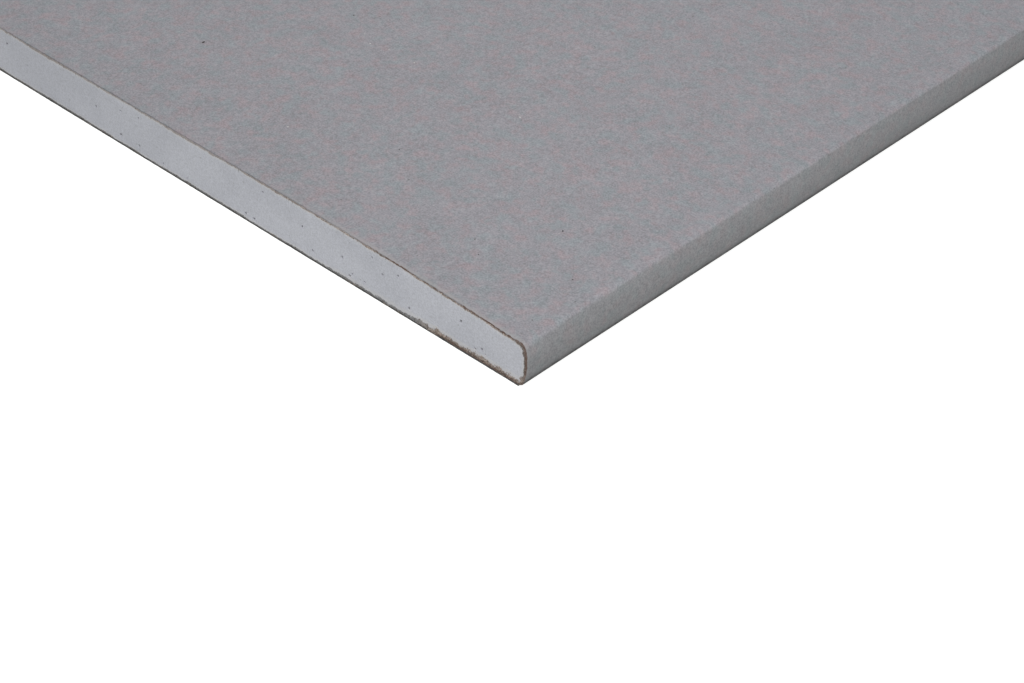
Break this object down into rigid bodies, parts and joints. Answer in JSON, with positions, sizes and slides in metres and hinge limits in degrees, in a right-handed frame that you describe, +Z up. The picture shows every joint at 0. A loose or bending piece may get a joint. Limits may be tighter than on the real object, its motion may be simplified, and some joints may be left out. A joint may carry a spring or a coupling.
{
  "type": "drywall sheet",
  "caption": "Flat rectangular drywall sheet with a gypsum core between a grey face paper and a back paper, tapered rounded long edges and square-cut ends, for lining walls and ceilings",
  "frame": {"origin": "centre of the underside, on the surface that the sheet lies on", "axes": "+X across the sheet towards one bound long edge, +Y along the sheet towards one cut end, +Z up out of the face"},
  "size_m": [1.25, 2, 0.0125],
  "materials": {
    "gypsum": "matte, fine powdery grain with a few small pores",
    "face_paper": "matte grey recycled paper, brown where it is cut",
    "back_paper": "matte grey-brown recycled paper"
  },
  "bodies": {
    "root": {"gypsum_core": "gypsum", "face_paper": "face_paper", "back_paper": "back_paper"}
  },
  "joints": []
}
